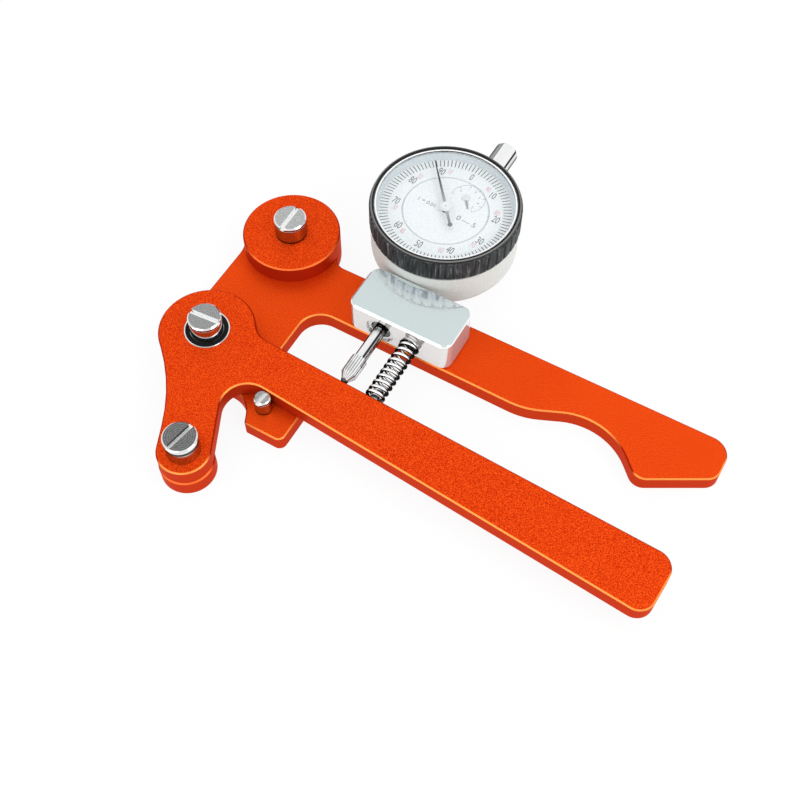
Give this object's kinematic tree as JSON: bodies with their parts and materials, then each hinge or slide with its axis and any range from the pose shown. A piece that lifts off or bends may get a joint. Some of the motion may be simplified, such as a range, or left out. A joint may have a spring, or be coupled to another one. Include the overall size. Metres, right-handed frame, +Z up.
{
  "type": "spoke tension meter",
  "caption": "Squeeze-type spoke tension meter: two flat handles on a pivot bearing, three slotted measuring posts and a dial indicator that reads the lever's travel.",
  "frame": {"origin": "the lever's pivot axis at the base plate's underside", "axes": "+X along the handles towards their ends, +Y from the pivot towards the dial indicator, +Z up out of the plates towards the dial"},
  "size_m": [0.1452, 0.135, 0.0252],
  "materials": {
    "orange_plate": "fine bead-blasted orange anodised aluminium",
    "steel_post": "turned and polished steel",
    "steel_part": "plain steel",
    "dark_steel": "blackened steel",
    "block": "satin aluminium",
    "case": "satin light grey",
    "bezel": "satin black",
    "brass": "turned brass",
    "blue_steel": "blued spring steel",
    "seal": "black rubber",
    "dial": "matt bluish white with plain black numbers",
    "hand": "black",
    "reflector": "matt pale grey",
    "crystal": "clear, polished"
  },
  "bodies": {
    "frame": {"base_plate": "orange_plate", "head_disc": "orange_plate", "head_post": "steel_post", "pivot_post": "steel_post", "pivot_spacer": "steel_part", "stop_pin": "steel_post", "bearing_inner_ring": "steel_part", "indicator_block": "block", "block_screws": "steel_part", "clamp_screw": "dark_steel", "return_spring": "steel_part", "indicator_case": "case", "back_cover": "steel_part", "back_screws": "dark_steel", "indicator_stem": "steel_part", "rear_tube": "steel_part", "movement_plate": "brass", "movement_bridge": "brass", "plunger_spring": "steel_part", "hairspring": "blue_steel", "dial_centre": "dial", "bezel_clip": "steel_part"},
    "lever": {"lever": "orange_plate", "foot_disc": "orange_plate", "foot_post": "steel_post", "spring_pin": "steel_part", "bearing_outer_ring": "steel_part", "bearing_seals": "seal"},
    "ball_set": {"bearing_balls": "steel_part"},
    "plunger": {"spindle": "steel_post", "contact_point": "dark_steel"},
    "rack_arbor": {"rack_arbor": "brass"},
    "centre": {"centre_arbor": "brass", "main_hand": "hand"},
    "counter": {"counter_arbor": "brass", "counter_hand": "hand"},
    "bezel": {"bezel": "bezel", "glare_ring": "reflector", "dial_ring": "dial", "crystal": "crystal"}
  },
  "joints": [
    {"name": "lever_hinge", "type": "hinge", "parent": "frame", "child": "lever", "pos_m": [0, 0, 0], "axis": [0, 0, 1], "range_deg": [0, 7], "stiffness_Nm_per_rad": 1.5, "springref_deg": -3.44, "deforming": ["return_spring"]},
    {"name": "ball_orbit", "type": "hinge", "parent": "frame", "child": "ball_set", "pos_m": [0, 0, 0], "axis": [0, 0, 1], "range_deg": [0, 4]},
    {"name": "plunger_slide", "type": "slide", "parent": "frame", "child": "plunger", "axis": [0, 1, 0], "range_m": [0, 0.005], "deforming": ["plunger_spring"]},
    {"name": "rack_arbor_turn", "type": "hinge", "parent": "frame", "child": "rack_arbor", "pos_m": [0.0364, 0.051, 0], "axis": [0, 0, 1], "range_deg": [0, 180]},
    {"name": "centre_turn", "type": "hinge", "parent": "frame", "child": "centre", "pos_m": [0.0391, 0.0574, 0], "axis": [0, 0, 1], "range_deg": [-1800, 0]},
    {"name": "counter_turn", "type": "hinge", "parent": "frame", "child": "counter", "pos_m": [0.0418, 0.0638, 0], "axis": [0, 0, 1], "range_deg": [0, 180], "deforming": ["hairspring"]},
    {"name": "bezel_turn", "type": "hinge", "parent": "frame", "child": "bezel", "pos_m": [0.0391, 0.0574, 0], "axis": [0, 0, 1], "continuous": true}
  ],
  "couplings": [
    {"joint": "ball_orbit", "follows": "lever_hinge", "ratio": 0.562},
    {"joint": "plunger_slide", "follows": "lever_hinge", "m_per_rad": 0.03937},
    {"joint": "rack_arbor_turn", "follows": "lever_hinge", "ratio": 24.737},
    {"joint": "centre_turn", "follows": "lever_hinge", "ratio": -247.37},
    {"joint": "counter_turn", "follows": "lever_hinge", "ratio": 24.737}
  ]
}
